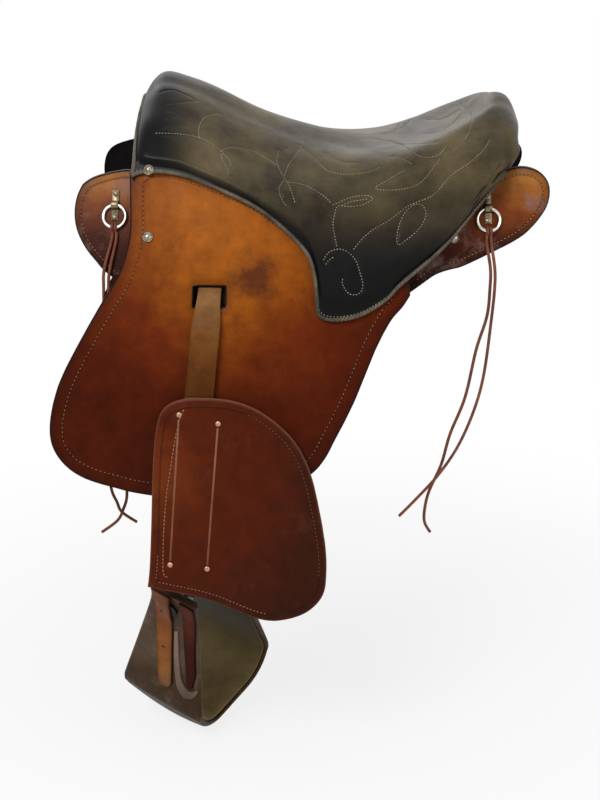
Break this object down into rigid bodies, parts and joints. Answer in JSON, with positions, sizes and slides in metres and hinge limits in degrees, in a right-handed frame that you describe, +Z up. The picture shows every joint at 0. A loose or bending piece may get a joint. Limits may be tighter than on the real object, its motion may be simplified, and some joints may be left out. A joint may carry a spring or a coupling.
{
  "type": "plantation saddle",
  "caption": "Hornless plantation saddle with a padded black seat with scroll stitching, tan leather flaps and flared skirts, swinging fenders and leather-covered stirrups.",
  "frame": {"origin": "middle plane of the saddle, level with the lower edges of the tree's bars plus 5 mm, halfway along the skirts: the point that a horse's back or a rack holds", "axes": "+Z up, +X towards the cantle at the back, near side at -Y and far side at +Y"},
  "size_m": [0.6297, 0.6334, 0.849],
  "materials": {
    "seat_leather": "smooth black padded leather, stitched with scrolls, glossy",
    "seat_padding": "felted padding under the seat cover",
    "flap_leather": "oiled saddle leather, orange-tan to red-brown, black edge",
    "skirt_leather": "oiled saddle leather, worn red-brown",
    "fender_leather": "dark red-brown oiled leather with stitching",
    "strap_leather": "tan-olive harness leather",
    "string_leather": "limp red-brown lace leather",
    "stirrup_leather": "dark rough-out leather with an olive inside",
    "lining": "black felt-like lining",
    "wood": "bent and carved wood, hidden",
    "steel": "plain steel, hidden or dull",
    "nickel": "nickel-plated brass"
  },
  "bodies": {
    "leather_near": {"stirrup_leather_near": "strap_leather"},
    "fender_near": {"fender_near": "fender_leather", "fender_sleeve_near": "fender_leather", "leather_loop_near": "strap_leather"},
    "stirrup_near": {"stirrup_cover_near": "stirrup_leather", "stirrup_wood_near": "wood", "stirrup_bolt_near": "steel", "leather_tail_near": "strap_leather"},
    "ring_front_near": {"string_ring_front_near": "nickel"},
    "strings_front_near": {"string_front_a_near": "string_leather", "string_front_b_near": "string_leather"},
    "billet_front_near": {"girth_billet_front_near": "strap_leather"},
    "ring_rear_near": {"string_ring_rear_near": "nickel"},
    "strings_rear_near": {"string_rear_a_near": "string_leather", "string_rear_b_near": "string_leather"},
    "billet_rear_near": {"girth_billet_rear_near": "strap_leather"},
    "leather_far": {"stirrup_leather_far": "strap_leather"},
    "fender_far": {"fender_far": "fender_leather", "fender_sleeve_far": "fender_leather", "leather_loop_far": "strap_leather"},
    "stirrup_far": {"stirrup_cover_far": "stirrup_leather", "stirrup_wood_far": "wood", "stirrup_bolt_far": "steel", "leather_tail_far": "strap_leather"},
    "ring_front_far": {"string_ring_front_far": "nickel"},
    "billet_front_far": {"girth_billet_front_far": "strap_leather"},
    "ring_rear_far": {"string_ring_rear_far": "nickel"},
    "billet_rear_far": {"girth_billet_rear_far": "strap_leather"},
    "saddle": {"cantle_board": "wood", "flap_far": "flap_leather", "flap_near": "flap_leather", "flap_screw_far": "nickel", "flap_screw_near": "nickel", "ground_seat": "strap_leather", "gullet_plate": "steel", "leather_anchor_far": "strap_leather", "leather_anchor_near": "strap_leather", "pommel_fork": "wood", "ring_clip_front_far": "nickel", "ring_clip_front_near": "nickel", "ring_clip_rear_far": "nickel", "ring_clip_rear_near": "nickel", "seat_cover": "seat_leather", "seat_pad": "seat_padding", "seat_screw_far": "nickel", "seat_screw_near": "nickel", "skirt_far": "skirt_leather", "skirt_lining_far": "lining", "skirt_lining_near": "lining", "skirt_near": "skirt_leather", "skirt_screw_far": "nickel", "skirt_screw_near": "nickel", "tree_bar_far": "wood", "tree_bar_near": "wood"}
  },
  "joints": [
    {"name": "leather_swing_near", "type": "hinge", "parent": "saddle", "child": "leather_near", "pos_m": [-0.127, -0.22708, -0.024], "axis": [0.043, 0.9557, -0.2913], "range_deg": [-20, 20]},
    {"name": "fender_lift_near", "type": "hinge", "parent": "leather_near", "child": "fender_near", "pos_m": [-0.1391, -0.26776, -0.145], "axis": [-0.998, 0.0629, 0], "range_deg": [0, 70]},
    {"name": "stirrup_swing_near", "type": "hinge", "parent": "fender_near", "child": "stirrup_near", "pos_m": [-0.15, -0.226, -0.416], "axis": [0.5558, 0.7649, 0.3256], "range_deg": [-20, 25]},
    {"name": "ring_swing_front_near", "type": "hinge", "parent": "saddle", "child": "ring_front_near", "pos_m": [-0.24723, -0.16614, 0.07544], "axis": [-0.9951, 0.0985, 0], "range_deg": [0, 12]},
    {"name": "strings_hang_front_near", "type": "hinge", "parent": "ring_front_near", "child": "strings_front_near", "pos_m": [-0.24827, -0.1766, 0.04884], "axis": [-0.9951, 0.0985, 0], "range_deg": [-12, 0]},
    {"name": "billet_swing_front_near", "type": "hinge", "parent": "saddle", "child": "billet_front_near", "pos_m": [-0.085, -0.20839, -0.0178], "axis": [0, 1, 0], "range_deg": [-7, 7]},
    {"name": "ring_swing_rear_near", "type": "hinge", "parent": "saddle", "child": "ring_rear_near", "pos_m": [0.22069, -0.16987, 0.07244], "axis": [-0.9967, -0.0807, 0], "range_deg": [0, 60]},
    {"name": "strings_hang_rear_near", "type": "hinge", "parent": "ring_rear_near", "child": "strings_rear_near", "pos_m": [0.22154, -0.18036, 0.04585], "axis": [-0.9967, -0.0807, 0], "range_deg": [-60, 0]},
    {"name": "billet_swing_rear_near", "type": "hinge", "parent": "saddle", "child": "billet_rear_near", "pos_m": [-0.035, -0.21396, -0.0178], "axis": [0, 1, 0], "range_deg": [-10, 10]},
    {"name": "leather_swing_far", "type": "hinge", "parent": "saddle", "child": "leather_far", "pos_m": [-0.127, 0.22708, -0.024], "axis": [0.043, -0.9557, -0.2913], "range_deg": [-20, 20]},
    {"name": "fender_lift_far", "type": "hinge", "parent": "leather_far", "child": "fender_far", "pos_m": [-0.1391, 0.26776, -0.145], "axis": [0.998, 0.0629, 0], "range_deg": [0, 70]},
    {"name": "stirrup_swing_far", "type": "hinge", "parent": "fender_far", "child": "stirrup_far", "pos_m": [-0.15, 0.226, -0.416], "axis": [0.5558, -0.7649, 0.3256], "range_deg": [-20, 25]},
    {"name": "ring_swing_front_far", "type": "hinge", "parent": "saddle", "child": "ring_front_far", "pos_m": [-0.24723, 0.16614, 0.07544], "axis": [0.9951, 0.0985, 0], "range_deg": [0, 80]},
    {"name": "billet_swing_front_far", "type": "hinge", "parent": "saddle", "child": "billet_front_far", "pos_m": [-0.085, 0.20839, -0.0178], "axis": [0, -1, 0], "range_deg": [-7, 7]},
    {"name": "ring_swing_rear_far", "type": "hinge", "parent": "saddle", "child": "ring_rear_far", "pos_m": [0.22069, 0.16987, 0.07244], "axis": [0.9967, -0.0807, 0], "range_deg": [0, 80]},
    {"name": "billet_swing_rear_far", "type": "hinge", "parent": "saddle", "child": "billet_rear_far", "pos_m": [-0.035, 0.21396, -0.0178], "axis": [0, -1, 0], "range_deg": [-10, 10]}
  ],
  "couplings": [
    {"joint": "strings_hang_front_near", "follows": "ring_swing_front_near", "ratio": -1},
    {"joint": "strings_hang_rear_near", "follows": "ring_swing_rear_near", "ratio": -1}
  ]
}
